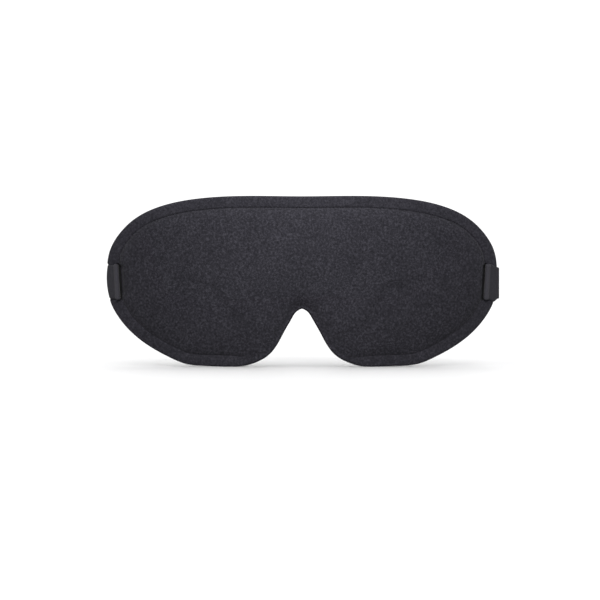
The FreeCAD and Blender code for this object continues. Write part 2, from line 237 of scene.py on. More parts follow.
# ---- the outline -----------------------------------------------------
def closed_spline(points, count):
    """Evenly spaced rows on a smooth closed curve through the given rows; x and z come first."""
    points = np.array(points)
    total = len(points)
    ahead = np.roll(points, -1, 0)
    gaps = np.linalg.norm((ahead - points)[:, :2], axis=1)
    matrix = np.zeros((total, total))
    right = np.zeros_like(points)
    for i in range(total):
        before, after = gaps[i - 1], gaps[i]
        matrix[i, i - 1] = before
        matrix[i, i] = 2 * (before + after)
        matrix[i, (i + 1) % total] = after
        right[i] = 6 * ((ahead[i] - points[i]) / after - (points[i] - points[i - 1]) / before)
    bend = np.linalg.solve(matrix, right)
    starts = np.concatenate([[0], np.cumsum(gaps)])

    def at(place):
        place = np.mod(place, starts[-1])
        i = np.clip(np.searchsorted(starts, place, "right") - 1, 0, total - 1)
        j, h = (i + 1) % total, gaps[i][:, None]
        t = (place - starts[i])[:, None]
        back = h - t
        return ((bend[i] * back ** 3 + bend[j] * t ** 3) / (6 * h)
                + (points[i] / h - bend[i] * h / 6) * back
                + (points[j] / h - bend[j] * h / 6) * t)

    fine = np.linspace(0, starts[-1], 40 * total + 1)
    steps = np.linalg.norm(np.diff(at(fine)[:, :2], axis=0), axis=1)
    length = np.concatenate([[0], np.cumsum(steps)])
    return at(np.interp(np.linspace(0, length[-1], count, endpoint=False), length, fine))


def mask_outline():
    """Points, inward normals and rim width along the mask's edge, clockwise from the top centre."""
    right = [(x, z + LOBES_Z, w) for x, z, w in HALF_OUTLINE]
    left = [(-x, z, w) for x, z, w in right[-2:0:-1]]
    rows = closed_spline(right + left, OUTLINE_POINTS)
    edge, width = rows[:, :2], rows[:, 2]
    tangent = np.roll(edge, -1, 0) - np.roll(edge, 1, 0)
    tangent /= np.linalg.norm(tangent, axis=1)[:, None]
    inward = np.stack([tangent[:, 1], -tangent[:, 0]], 1)
    edge = edge.copy()
    limit = RELIEF_X + (edge[:, 1] - STRAP_Z) * EDGE_LEAN
    near = smooth((STRAP_W / 2 + RELIEF_MARGIN - np.abs(edge[:, 1] - STRAP_Z)) / RELIEF_FADE)
    edge[:, 0] += np.maximum(-edge[:, 0] - limit, 0) * near
    return edge, inward, width


EDGE, INWARD, RIM_WIDTH = mask_outline()


def share_below(height, run):
    """For each edge point, 0 above a height over the lobes and 1 from `run` farther down."""
    return smooth((height + LOBES_Z - EDGE[:, 1]) / run)


# The pressed groove runs round the rim, fainter lower down, but not along the notch.
LOW_SHARE = share_below(24.0, 20.0)
GROOVE_SHARE = smooth((RIM_WIDTH - GROOVE_RIM) / GROOVE_RIM_FADE) * (
    1 - 0.3 * share_below(60.0, 25.0) - 0.3 * LOW_SHARE)


def edge_distance(places, batch=400):
    """Distance from the edge, and the index of the nearest edge point."""
    best = np.zeros(len(places))
    index = np.zeros(len(places), int)
    for start in range(0, len(places), batch):
        part = slice(start, start + batch)
        gap = np.linalg.norm(places[part][:, None, :] - EDGE[None, :, :], axis=2)
        index[part] = gap.argmin(1)
        best[part] = gap.min(1)
    return best, index


def inside_edge(places):
    """True where a place lies inside the mask's edge."""
    x, z = places[:, 0][:, None], places[:, 1][:, None]
    a, b = EDGE, np.roll(EDGE, -1, 0)
    spans = (a[:, 1] > z) != (b[:, 1] > z)
    rise = np.where(b[:, 1] == a[:, 1], 1e-9, b[:, 1] - a[:, 1])
    crossing = a[:, 0] + (z - a[:, 1]) * (b[:, 0] - a[:, 0]) / rise
    return (np.sum(spans & (x < crossing), axis=1) % 2) == 1


def swell_field(step=1.0, rounds=325, haste=1.94):
    """The shape of a skin held along the groove and pushed out evenly, 1 at its highest.

    It settles in rounds of successive over-relaxation on the two colours of a chequered grid.
    """
    xs = np.arange(-120.0, 120.0 + step, step)
    zs = np.arange(LOBES_Z - 2, LOBES_Z + 107, step)
    grid_x, grid_z = np.meshgrid(xs, zs)
    places = np.stack([grid_x.ravel(), grid_z.ravel()], 1)
    distance, index = edge_distance(places)
    free = (inside_edge(places) & (distance > RIM_WIDTH[index])).reshape(grid_x.shape)
    height = np.zeros(grid_x.shape)
    parity = (np.add.outer(np.arange(len(zs)), np.arange(len(xs))) % 2).astype(bool)
    for _ in range(rounds):
        for colour in (parity, ~parity):
            around = np.zeros_like(height)
            around[1:-1, 1:-1] = (height[:-2, 1:-1] + height[2:, 1:-1]
                                  + height[1:-1, :-2] + height[1:-1, 2:] + step * step) / 4
            change = np.where(free & colour, around - height, 0.0)
            height += haste * change
    return xs, zs, height / height.max()


SWELL = swell_field()


def swell_at(places):
    """The swell field at any places, between 0 and 1."""
    xs, zs, height = SWELL
    step = xs[1] - xs[0]
    u = np.clip((places[:, 0] - xs[0]) / step, 0, len(xs) - 1.001)
    v = np.clip((places[:, 1] - zs[0]) / step, 0, len(zs) - 1.001)
    i, j = u.astype(int), v.astype(int)
    a, b = u - i, v - j
    low = height[j, i] * (1 - a) + height[j, i + 1] * a
    high = height[j + 1, i] * (1 - a) + height[j + 1, i + 1] * a
    return low * (1 - b) + high * b


# ---- surfaces of the mask --------------------------------------------
def slot_press(places):
    """How far the rim is pressed down beside the strap slots."""
    x = np.abs(places[:, 0]) - (places[:, 1] - STRAP_Z) * SLOT_LEAN
    beside = np.maximum(np.maximum(COVER_SLOT[0] - x, x - COVER_SLOT[1]), 0)
    above = np.maximum(np.abs(places[:, 1] - STRAP_Z) - COVER_SLOT[2], 0)
    return SLOT_PRESS * np.exp(-(np.hypot(beside, above) / SLOT_PRESS_RUN) ** 2)


def front_height(places, distance, index):
    """How far the front cover stands in front of the middle of the rim."""
    width, share = RIM_WIDTH[index], GROOVE_SHARE[index]
    along = np.clip((distance - PUFF_START) / (width - PUFF_START), 0, 1)
    rim = RIM_HALF + RIM_PUFF * share * np.sin(np.pi * along)
    groove = GROOVE_DEPTH * share * np.exp(-((distance - width) / GROOVE_HALF) ** 2)
    soft = 0.35 + 2.4 * (1 - share)    # without a groove the shoulder starts softly
    past = (np.sqrt((distance - width) ** 2 + soft ** 2) + distance - width) / 2
    rise = SHOULDER_RISE * (1 - 0.45 * LOW_SHARE[index])
    reach = SHOULDER_REACH * (1 + 0.5 * LOW_SHARE[index])
    shoulder = rise * (1 - np.exp(-past / reach))
    return rim - groove + shoulder + CROWN_RISE * swell_at(places) - slot_press(places)


def cup_depth(places):
    """0 on the pad and 1 on the floor of an eye cup, with a rounded lip and a sloping wall."""
    dx = np.abs(places[:, 0]) - EYE_X
    rho = np.hypot(dx / EYE_A, (places[:, 1] - EYE_Z) / EYE_B)
    inside = (1 - rho) * (EYE_A + EYE_B) / 2
    return smooth((inside + LIP_OUT) / EYE_WALL)


def rear_height(places, distance, index):
    """The same for the face side: it lies behind the middle of the rim, so it is below zero."""
    width, share = RIM_WIDTH[index], GROOVE_SHARE[index]
    x = places[:, 0]
    pad_y = PAD_REAR_Y + x ** 2 / PAD_SAG + PAD_CROWN * swell_at(places)
    pad = pad_y - wrap_y(x, 0) - RIM_HALF
    reach = np.clip((distance - width + 0.4) / PAD_WALL, 0, 1)
    wall = 1 - (1 - reach) ** 2.3
    groove = REAR_GROOVE_DEPTH * share * np.exp(-((distance - width) / GROOVE_HALF) ** 2)
    behind = RIM_HALF + pad * wall - groove - slot_press(places)
    floor = EYE_FLOOR_Y + EYE_FLOOR_SLOPE * (np.abs(x) - EYE_X) - wrap_y(x, 0)
    depth = cup_depth(places)
    return -(behind * (1 - depth) + floor * depth)


# The rounded edge: distance inwards from the outline, height over the middle of the rim.
EDGE_PROFILE = (
    (0.20, 0.02),
    (0.06, 0.20),
    (0.0, 0.45),
    (0.06, 0.75),
    (0.22, 1.02),
    (0.48, 1.22),
    (0.80, 1.34),
)
# Rings of points near the groove, as distances inwards from it.
NEAR_GROOVE = (-1.1, -0.75, -0.45, -0.2, 0.0, 0.2, 0.45, 0.75, 1.1, 1.6, 2.2, 3.0, 4.0, 5.2, 6.6)


def ring_distances():
    """Distances inwards of the rings of points between the rounded edge and the panel."""
    rows = []
    first, last = EDGE_PROFILE[-1][0], RIM_WIDTH + NEAR_GROOVE[0]
    for share in (0.12, 0.3, 0.5, 0.7, 0.88):
        rows.append(first + (last - first) * share)
    rows += [RIM_WIDTH + offset for offset in NEAR_GROOVE]
    return rows


def filled_loop(loop, inner):
    """Triangles over the area inside a closed loop of places, through the inner places."""
    count = len(loop)
    places = [Vector(p) for p in np.concatenate([loop, inner])]
    edges = [(i, (i + 1) % count) for i in range(count)]
    made = delaunay_2d_cdt(places, edges, [], 1, 1e-6)
    origin = [ids[0] for ids in made[3]]
    return [tuple(origin[i] for i in face) for face in made[2]]


def grid_inside(step, clear):
    """A staggered grid of places at least `clear` farther in than the groove."""
    rows = []
    for k, z in enumerate(np.arange(LOBES_Z, LOBES_Z + GRID_TOP, step * GRID_ROWS)):
        for x in np.arange(-GRID_HALF + (k % 2) * step / 2, GRID_HALF, step):
            rows.append((x, z))
    places = np.array(rows)
    distance, index = edge_distance(places)
    return places[inside_edge(places) & (distance > RIM_WIDTH[index] + clear)]


def eye_rings(outermost=-4.4, innermost=11.0, gap=0.8, around=110):
    """Rings of places round and inside both eye cups, for a fine mesh on their walls."""
    rows = []
    for side in (-1, 1):
        for offset in np.arange(outermost, innermost, gap):
            a, b = EYE_A - offset, EYE_B - offset
            for k in range(around):
                angle = 2 * math.pi * (k + 0.5 * (round(offset / gap) % 2)) / around
                rows.append((side * (EYE_X + a * math.cos(angle)), EYE_Z + b * math.sin(angle)))
    return np.array(rows)


def in_eye(places, grow):
    """True where a place lies in the mouth of an eye cup, made `grow` wider all round."""
    dx = np.abs(places[:, 0]) - EYE_X
    return np.hypot(dx / (EYE_A + grow), (places[:, 1] - EYE_Z) / (EYE_B + grow)) < 1


def mask_half(name, height, sign, inner, material):
    """One closed half of the mask: its skin on one side and a hidden cap in the rim's middle.

    The attribute "pressed" says how far the cloth is pressed down. "skin" is 1 on the outside,
    and 0 on the cap and on what the cut of a slot adds, which the materials darken as painted
    shade.
    """
    points, press, rings = [], [], []

    def add_ring(places, fronts, pressed):
        rings.append(np.arange(len(places)) + sum(len(p) for p in points))
        points.append(np.column_stack([places[:, 0], wrap_y(places[:, 0], fronts), places[:, 1]]))
        press.append(np.broadcast_to(pressed, len(places)))

    every = np.arange(OUTLINE_POINTS)
    for inwards, rise in EDGE_PROFILE:
        places = EDGE + INWARD * inwards
        lift = rise * (1 - 0.25 * slot_press(places))
        add_ring(places, sign * lift, 1.0)
    for inwards in ring_distances():
        places = EDGE + INWARD * inwards[:, None]
        pressed = smooth((RIM_WIDTH + PRESSED_PAST - inwards) / PRESSED_FADE)
        pressed = pressed * (0.3 + 0.7 * GROOVE_SHARE)
        add_ring(places, height(places, inwards, every), pressed)
    faces = []
    for lower, upper in zip(rings, rings[1:]):
        faces += list(zip(lower, np.roll(lower, -1), np.roll(upper, -1), upper))
    last = EDGE + INWARD * ring_distances()[-1][:, None]
    distance, index = edge_distance(inner)
    base = rings[-1][0]
    faces += [tuple(base + i for i in face) for face in filled_loop(last, inner)]
    add_ring(inner, height(inner, distance, index), 0.0)

    first_in, first_rise = EDGE_PROFILE[0]
    cap_inner = grid_inside(9.0, -4.0)
    cap_start = sum(len(p) for p in points)
    add_ring(cap_inner, np.full(len(cap_inner), sign * first_rise), 0.0)
    for face in filled_loop(EDGE + INWARD * first_in, cap_inner):
        faces.append(tuple(i if i < OUTLINE_POINTS else cap_start + i - OUTLINE_POINTS
                           for i in face))
    number = np.arange(cap_start + len(cap_inner))
    outside = (number >= OUTLINE_POINTS) & (number < cap_start)
    return make_piece(name, np.concatenate(points), faces, material,
                      {"pressed": np.concatenate(press), "skin": outside})


def cut_slots(piece, walls):
    """Cuts the two leaning strap slots, with round ends, through a half of the mask."""
    inner, outer, half_height = walls
    middle, half = (inner + outer) / 2, (outer - inner) / 2
    arc_steps, front_y, rear_y = 8, -5.0, 35.0
    points, faces = [], []
    for side in (-1, 1):
        loop = []
        for z_side, start in ((1, 0), (-1, math.pi)):
            for k in range(arc_steps + 1):
                angle = start + math.pi * k / arc_steps
                z = z_side * (half_height - half) + half * math.sin(angle)
                x = middle + half * math.cos(angle) + z * SLOT_LEAN
                loop.append((side * x, z + STRAP_Z))
        faces += tube_faces(2, len(loop), len(points))
        for y in (front_y, rear_y):
            points += [(x, y, z) for x, z in loop]
    cutter = make_piece(piece.name + "_cutter", points, faces, piece.data.materials[0])
    modifier = piece.modifiers.new("slots", "BOOLEAN")
    modifier.operation = "DIFFERENCE"
    modifier.solver = "EXACT"
    modifier.object = cutter
    apply_modifiers(piece)
    bpy.data.objects.remove(cutter)


def apply_modifiers(piece):
    """Puts the result of a piece's modifiers into its mesh."""
    bpy.context.view_layer.update()
    seen = piece.evaluated_get(bpy.context.evaluated_depsgraph_get())
    mesh = bpy.data.meshes.new_from_object(seen)
    piece.modifiers.clear()
    piece.data = mesh


# ---- eye cups and nose wings -----------------------------------------
def eye_cup(name, side, material):
    """A thin moulded liner that follows the hollow, with a rolled hem round its mouth."""
    around = 120
    # Rings of the liner: how far in from the mouth, and how far off the hollow's surface.
    hem = ((0.85, 0.05), (0.7, 0.5), (1.0, 0.95), (1.5, 1.05), (2.0, 0.8), (2.3, 0.5))
    top = list(hem) + [(inwards, 0.42) for inwards in np.arange(2.9, 20.8, 0.9)]
    under = [(inwards, -0.25) for inwards in np.arange(20.2, 1.5, -1.8)]
    points, rings = [], []
    angles = 2 * math.pi * np.arange(around) / around

    for inwards, lift in top + under:
        places = np.column_stack([side * (EYE_X + (EYE_A - inwards) * np.cos(angles)),
                                  EYE_Z + (EYE_B - inwards) * np.sin(angles)])
        distance, index = edge_distance(places)
        fronts = rear_height(places, distance, index) - lift
        rings.append(np.arange(around) + len(points) * around)
        points.append(np.column_stack([places[:, 0], wrap_y(places[:, 0], fronts), places[:, 1]]))

    faces = []
    innermost = len(top) - 1
    for k, (lower, upper) in enumerate(zip(rings, rings[1:] + rings[:1])):
        if k != innermost:
            faces += list(zip(lower, np.roll(lower, -1), np.roll(upper, -1), upper))
    faces.append(tuple(rings[innermost]))
    faces.append(tuple(rings[innermost + 1]))
    points = np.concatenate(points)
    return make_piece(name, points, faces, material, {"skin": np.ones(len(points))})


def nose_wing(name, side, material):
    """A soft fin that rises from the pad beside the notch, thick at its foot and thin on top."""
    low, high = node_box("nose_wing_right")
    middle = np.array([(low[0] + high[0]) / 2, (low[2] + high[2]) / 2])
    lean = math.radians(122.0)
    along = np.array([math.cos(lean), math.sin(lean)])
    across = np.array([along[1], -along[0]])
    half, buried, top_half, foot_extra, most_bow = 13.5, 2.6, 1.6, 2.6, 0.9
    stations, loop = 41, 15
    shares = np.linspace(-1, 1, stations)
    line = middle + along * shares[:, None] * half
    distance, index = edge_distance(line)
    pad = wrap_y(line[:, 0], rear_height(line, distance, index))
    height = high[1] + 0.4 - pad[stations // 2]
    points = []
    for s, pad_y in zip(shares, pad):
        foot_y = pad_y - buried
        crest = pad_y - 0.3 + height * (1 - s * s) ** 1.1
        shrink = (1 - abs(s) ** 6) ** 0.5
        for k in range(loop):
            turn = math.pi * k / (loop - 1)
            rise = math.sin(turn) ** 0.5
            thick = (top_half + foot_extra * (1 - rise) ** 1.5) * shrink
            bow = most_bow * (1 - s * s) * rise
            place = middle + along * s * half + across * (thick * math.cos(turn) - bow)
            points.append((side * place[0], foot_y + (crest - foot_y) * rise, place[1]))
    return make_piece(name, points, tube_faces(stations, loop), material,
                      {"skin": np.ones(len(points))})


# ---- the strap -------------------------------------------------------
SELVEDGE, CORDS = 0.6, 17         # the rounding of its two edges, and cords across its width
UV_PER_MM = 0.01                  # its weave map: along it and across it
PICK_PITCH, CORD_PITCH = 0.85, 1.2


def rounded_path(corners, line_steps=10, arc_steps=9):
    """Points and left normals along (x, y, bend radius) corners joined by straight runs."""
    corners = [np.array(c, float) for c in corners]
    points, normals = [], []
    here = corners[0][:2]
    for k in range(1, len(corners)):
        ahead = corners[k][:2] - corners[k - 1][:2]
        ahead /= np.linalg.norm(ahead)
        left = np.array([-ahead[1], ahead[0]])
        stop = corners[k][:2]
        turn = 0.0
        if k < len(corners) - 1:
            after = corners[k + 1][:2] - corners[k][:2]
            after /= np.linalg.norm(after)
            turn = math.atan2(ahead[0] * after[1] - ahead[1] * after[0], ahead @ after)
            reach = corners[k][2] * math.tan(abs(turn) / 2)
            stop = stop - ahead * reach
        for share in np.arange(line_steps) / line_steps:
            points.append(here + (stop - here) * share)
            normals.append(left)
        if k == len(corners) - 1:
            points.append(stop)
            normals.append(left)
            continue
        centre = stop + left * math.copysign(corners[k][2], turn)
        for share in np.arange(arc_steps) / arc_steps:
            spin = turn * share
            matrix = np.array([[math.cos(spin), -math.sin(spin)],
                               [math.sin(spin), math.cos(spin)]])
            points.append(centre + matrix @ (stop - centre))
            normals.append(matrix @ left)
        here = corners[k][:2] + after * reach
    return np.array(points), np.array(normals)


def width_stations():
    """Places across the strap and its half thickness there, with rounded selvedges and cords."""
    near = [0.0, 0.12, 0.35, 0.7, 1.1]
    middle = list(np.linspace(1.7, STRAP_W - 1.7, 35))
    places = np.array(near + middle + [STRAP_W - v for v in near[::-1]])
    from_edge = np.minimum(places, STRAP_W - places)
    selvedge = np.clip(from_edge / SELVEDGE, 0, 1)
    rounding = np.sqrt(np.clip(1 - (1 - selvedge) ** 2, 0.04, 1))
    cords = 1 + 0.05 * np.cos(2 * math.pi * places / (STRAP_W / CORDS))
    return places, STRAP_T / 2 * rounding * cords


def strap(name, low, high, material, side=1, bowed=None, spread=1.0, lift=0.0, crest_highlight=0.0):
    """A strap on edge between its paths at its lower and upper edge, as a closed mesh.

    A bowed path, where there is one, is the way of the strap's middle. At each station the strap
    is `spread` times as wide and `lift` higher; the last argument is 1 where it bends over its
    crest, where the elastic is coloured paler as a painted highlight.
    """
    (low_points, low_normals), (high_points, high_normals) = low, high
    across, half = width_stations()
    share = (across / STRAP_W)[None, :, None]
    middle = low_points[:, None, :] * (1 - share) + high_points[:, None, :] * share
    if bowed is not None:
        bow = bowed[0] - (low_points + high_points) / 2
        middle = middle + bow[:, None, :] * 4 * share * (1 - share)
    normal = low_normals[:, None, :] * (1 - share) + high_normals[:, None, :] * share
    normal /= np.linalg.norm(normal, axis=2)[:, :, None]
    spread, lift, crest_highlight = (np.broadcast_to(v, len(low_points)) for v in (spread, lift, crest_highlight))
    z = STRAP_Z + lift[:, None] + (across - STRAP_W / 2)[None, :] * spread[:, None]
    loop = []
    for sign, order in ((1, slice(None)), (-1, slice(None, None, -1))):
        flat = middle[:, order] + normal[:, order] * (sign * half[order])[None, :, None]
        loop.append(np.dstack([side * flat[:, :, 0], flat[:, :, 1], z[:, order]]))
    loop = np.concatenate(loop, 1)
    stations, around = loop.shape[:2]
    steps = np.linalg.norm(np.diff(low_points, axis=0), axis=1)
    length = np.concatenate([[0], np.cumsum(steps)])
    uv_across = np.concatenate([across, across[::-1]])
    uvs = np.dstack([np.broadcast_to(length[:, None], (stations, around)),
                     np.broadcast_to(uv_across, (stations, around))]) * UV_PER_MM
    return make_piece(name, loop.reshape(-1, 3), tube_faces(stations, around), material,
                      {"crest_highlight": np.repeat(crest_highlight, around)}, uvs.reshape(-1, 2))


def threaded_path(fold_x, lean, fold_lean):
    """The way through a slot and round the edge, from the inner layer to the side arm.

    At this height the slot is `lean` farther out than in its middle, and the fold `fold_lean`.
    """
    slot_x = STRAP_SLOT_X + lean
    edge_x = fold_x + fold_lean
    over = RIM_HALF + 0.1 + STRAP_T / 2    # the strap's middle, lying on the rim
    return rounded_path([
        (LAYER_X, JOIN_Y, 0),
        (LAYER_X, SWING_Y + 4.5, 6.0),
        (slot_x, SWING_Y - 6.5, 5.0),
        (slot_x, wrap_y(slot_x, over + CREST), 0.9),
        (slot_x + 1.4, wrap_y(slot_x + 1.4, over + CREST), 0.6),
        (slot_x + 2.3, wrap_y(slot_x + 2.3, over), 0.6),
        (edge_x, wrap_y(edge_x, over), 1.1),
        (edge_x, SWING_Y - 5.5, 5.0),
        (ARM_X, SWING_Y + 2.5, 6.0),
        (ARM_X, JOIN_Y, 0),
    ])


def threaded_strap(name, fold_x, follows_edge, side, material):
    """The strap through one slot. Its fold follows the mask's edge, or stands straight off it."""
    lean = SLOT_LEAN * STRAP_W / 2
    fold_lean, bow = (EDGE_LEAN * STRAP_W / 2, FOLD_BOW) if follows_edge else (0.0, 0.0)
    bowed = threaded_path(fold_x + bow, 0.0, 0.0)
    x, y = bowed[0].T
    in_front = smooth((wrap_y(x, -4.0) - y) / 4.0)
    # On its crest, where it leaves the slot, the strap gets a painted highlight.
    on_crest = in_front * smooth((STRAP_SLOT_X + 2.4 - x) / 0.8)
    spread, lift = 1 + 0.05 * on_crest, 0.0
    if not follows_edge:
        # Outside its crest this one drops and narrows to its fold, which cuts its lower corner.
        wrapped = smooth((SWING_Y + 8.0 - y) / 16.0)
        slack = wrapped * smooth((x - STRAP_SLOT_X - 3.0) / 2.0)
        fold = wrapped * smooth((x - STRAP_SLOT_X - 5.2) / 2.4)
        spread = 1 + 0.055 * in_front * (1 - fold) - 0.075 * fold
        lift = 0.5 * fold - 1.35 * slack
    return strap(name, threaded_path(fold_x, -lean, -fold_lean),
                 threaded_path(fold_x, lean, fold_lean), material, side, bowed,
                 spread, lift, on_crest)


def straight_strap(name, x, y_start, y_end, material, side=1):
    """A length of strap that runs straight back."""
    path = rounded_path([(x, y_start, 0), (x, y_end, 0)],
                        line_steps=max(6, int((y_end - y_start) / 1.5)))
    return strap(name, path, path, material, side)


def rear_strap(name, material):
    """The band round the back of the head: two corner arcs joined by a wide rear arc."""
    turn, radius = math.radians(70.0), 58.0    # of a corner arc
    corner = np.array([ARM_X - radius, ARM_END_Y])
    rear_radius = (corner[0] + radius * math.cos(turn)) / math.cos(turn)
    rear = np.array([0.0, corner[1] + (radius - rear_radius) * math.sin(turn)])
    points, normals = [], []
    for centre, size, start, end, steps in (
        (corner, radius, 0.0, turn, 48),
        (rear, rear_radius, turn, math.pi - turn, 84),
        (corner * (-1, 1), radius, math.pi - turn, math.pi, 49),
    ):
        for angle in np.linspace(start, end, steps, endpoint=(end == math.pi)):
            out = np.array([math.cos(angle), math.sin(angle)])
            points.append(centre + out * size)
            normals.append(-out)
    path = np.array(points), np.array(normals)
    return strap(name, path, path, material)


def end_loop(name, material):
    """The strap's end round the slider's centre bar, lying back on itself."""
    inner_x = LOOP_LOW[0] + STRAP_T / 2
    back_y = LOOP_HIGH[1] - STRAP_T / 2
    sewn_x = LAYER_X - STRAP_T - 0.1    # a hair's gap between the two sewn layers
    path = rounded_path([
        (LAYER_X, SLIDER_Y - 1.4, 0),
        (LAYER_X, back_y, 1.2),
        (inner_x, back_y, 1.2),
        (inner_x, SLIDER_Y - 2.6, 2.0),
        (sewn_x, SLIDER_Y - 6.2, 2.0),
        (sewn_x, LOOP_LOW[1], 0),
    ])
    return strap(name, path, path, material)


def stitches(name, node, seats, material):
    """Thread stitches in a sewn box over the CAD node's stitches.

    Each seat is the x of a strap's face and which way along X is out of it.
    """
    low, high = node_box(node)
    long, wide, pitch, inset = 2.2, 0.5, 3.0, 0.18
    arch, sunk, flat = 0.16, 0.06, 0.8    # it arches, its ends dip, and it is not quite round
    y_low, y_high = low[1] + inset, high[1] - inset
    z_low, z_high = low[2] + inset, high[2] - inset
    columns = round((y_high - y_low) / pitch)
    rows = round((z_high - z_low) / pitch)
    places = [(y_low + (y_high - y_low) * (i + 0.5) / columns, z, 0)
              for z in (z_low, z_high) for i in range(columns)]
    places += [(y, z_low + (z_high - z_low) * (i + 0.5) / rows, 1)
               for y in (y_low, y_high) for i in range(rows)]
    points, faces = [], []
    sides, stations = 8, 9
    for (face, outward), (y, z, upright) in itertools.product(seats, places):
        first = len(points)
        for i in range(stations):
            t = i / (stations - 1) * 2 - 1
            radius = wide / 2 * math.sqrt(max(1 - abs(t) ** 5, 0.06))
            lift = arch * (1 - t * t) - sunk
            for k in range(sides):
                angle = 2 * math.pi * k / sides
                run, side = t * long / 2, radius * math.cos(angle)
                x = face + outward * (lift + radius * flat * math.sin(angle))
                points.append((x, y + side, z + run) if upright else (x, y + run, z + side))
        faces += tube_faces(stations, sides, first)
    return make_piece(name, points, faces, material)


def slider(name, material):
    """The slide adjuster, with every sharp edge of its CAD shape rounded over."""
    mesh = frame["nodes"]["slide_adjuster"].data.copy()
    mesh.name = name
    shape = bmesh.new()
    shape.from_mesh(mesh)
    bmesh.ops.remove_doubles(shape, verts=shape.verts, dist=1e-6)
    flat, sharp, rounding = math.radians(1.5), math.radians(40), 0.42 * MM
    bmesh.ops.dissolve_limit(shape, angle_limit=flat, verts=shape.verts, edges=shape.edges)
    edges = [e for e in shape.edges if e.is_manifold and e.calc_face_angle() > sharp]
    bmesh.ops.bevel(shape, geom=edges, offset=rounding, segments=4, profile=0.5,
                    affect="EDGES", clamp_overlap=True)
    for face in shape.faces:
        face.smooth = True
    shape.to_mesh(mesh)
    shape.free()
    mesh.materials.clear()
    mesh.materials.append(material)
    piece = bpy.data.objects.new(name, mesh)
    bpy.context.scene.collection.objects.link(piece)
    return piece


# ---- materials -------------------------------------------------------
class Shader:
    """A principled material and short ways to add and join its nodes."""

    def __init__(self, name, roughness, specular=0.3, sheen=0.0, sheen_roughness=0.5):
        self.material = bpy.data.materials.new(name)
        self.material.use_nodes = True
        self.nodes = self.material.node_tree.nodes
        self.links = self.material.node_tree.links
        self.shader = self.nodes["Principled BSDF"]
        self.shader.inputs["Roughness"].default_value = roughness
        self.shader.inputs["Specular IOR Level"].default_value = specular
        self.shader.inputs["Sheen Weight"].default_value = sheen
        self.shader.inputs["Sheen Roughness"].default_value = sheen_roughness

    def node(self, kind, inputs=None, **settings):
        made = self.nodes.new(kind)
        for key, value in settings.items():
            setattr(made, key, value)
        for key, value in (inputs or {}).items():
            if isinstance(value, bpy.types.NodeSocket):
                self.links.new(value, made.inputs[key])
            else:
                made.inputs[key].default_value = value
        return made

    def math(self, operation, a, b=0.0):
        return self.node("ShaderNodeMath", {0: a, 1: b}, operation=operation).outputs[0]

    def plus(self, a, b):
        return self.math("ADD", a, b)

    def minus(self, a, b):
        return self.math("SUBTRACT", a, b)

    def times(self, a, b):
        return self.math("MULTIPLY", a, b)

    def sine(self, a):
        return self.math("SINE", a)

    def absolute(self, a):
        return self.math("ABSOLUTE", a)

    def noise(self, vector, scale, detail, rough):
        made = self.node("ShaderNodeTexNoise", {"Vector": vector, "Scale": scale,
                                                "Detail": detail, "Roughness": rough})
        return made.outputs["Fac"]

    def ramp(self, value, stops):
        """A colour ramp. Its first two stops take the place of those that it starts with."""
        made = self.node("ShaderNodeValToRGB", {"Fac": value})
        ramp = made.color_ramp
        for element, (place, colour) in zip((ramp.elements[0], ramp.elements[1]), stops):
            element.position, element.color = place, (*colour, 1)
        for place, colour in stops[2:]:
            ramp.elements.new(place).color = (*colour, 1)
        return made.outputs["Color"]

    def bump(self, height, distance, strength):
        inputs = {"Height": height, "Distance": distance, "Strength": strength}
        return self.node("ShaderNodeBump", inputs).outputs["Normal"]

    def off_skin_shade(self):
        """1 on hidden and cut faces, 0 on a piece's outside: the faces darkened as painted shade.
        """
        skin = self.node("ShaderNodeAttribute", attribute_name="skin").outputs["Fac"]
        return self.minus(1.0, skin)

    def finish(self, colour, normal=None, roughness=None):
        self.links.new(colour, self.shader.inputs["Base Color"])
        if normal is not None:
            self.links.new(normal, self.shader.inputs["Normal"])
        if roughness is not None:
            self.links.new(roughness, self.shader.inputs["Roughness"])
        return self.material


def knit_height(make, place, wale, course):
    """Height of a fine jersey knit: columns of V stitches, `wale` wide and `course` high."""
    split = make.node("ShaderNodeSeparateXYZ", {"Vector": place})
    x, z = split.outputs["X"], split.outputs["Z"]
    across = make.times(x, 2 * math.pi / (wale * MM))
    column = make.absolute(make.sine(make.times(across, 0.5)))
    slant = make.times(column, 2.2)
    along = make.plus(make.times(z, 2 * math.pi / (course * MM)), slant)
    stitch = make.plus(make.times(make.sine(along), 0.5), 0.5)
    return make.times(column, stitch)


def cover_material():
    """Heathered charcoal knit, smoother where the rim has been heat pressed."""
    make = Shader("cover_knit", roughness=0.9, specular=0.09, sheen=0.06, sheen_roughness=0.4)
    place = make.node("ShaderNodeTexCoord").outputs["Object"]
    pressed = make.node("ShaderNodeAttribute", attribute_name="pressed").outputs["Fac"]
    loose = make.minus(1.0, make.times(pressed, 0.3))
    heather = make.noise(place, 780.0, 2.0, 0.6)
    fibre = make.noise(place, 2100.0, 2.0, 0.6)
    patch = make.noise(place, 45.0, 1.0, 0.5)
    mixed = make.plus(make.times(make.minus(heather, 0.5), 1.12),
                      make.times(make.minus(fibre, 0.5), 0.7))
    mixed = make.plus(make.times(mixed, loose), make.times(make.minus(patch, 0.5), 0.12))
    mixed = make.plus(mixed, make.times(pressed, 0.045))
    # Painted shade: the cut walls of the slots and the hidden cap are coloured darker.
    mixed = make.minus(mixed, make.times(make.off_skin_shade(), 0.4))
    colour = make.ramp(make.plus(mixed, 0.5), (
        (0.12, (0.0026, 0.0025, 0.0036)),
        (0.88, (0.0254, 0.0245, 0.0304)),
        (0.50, (0.0092, 0.0088, 0.0116)),
    ))
    knit = knit_height(make, place, 0.62, 0.5)
    bumpy = make.plus(make.times(knit, 0.5), make.times(heather, 1.4))
    bumpy = make.plus(make.times(bumpy, loose), make.times(fibre, 0.6))
    return make.finish(colour, make.bump(bumpy, 0.22 * MM, 0.8))


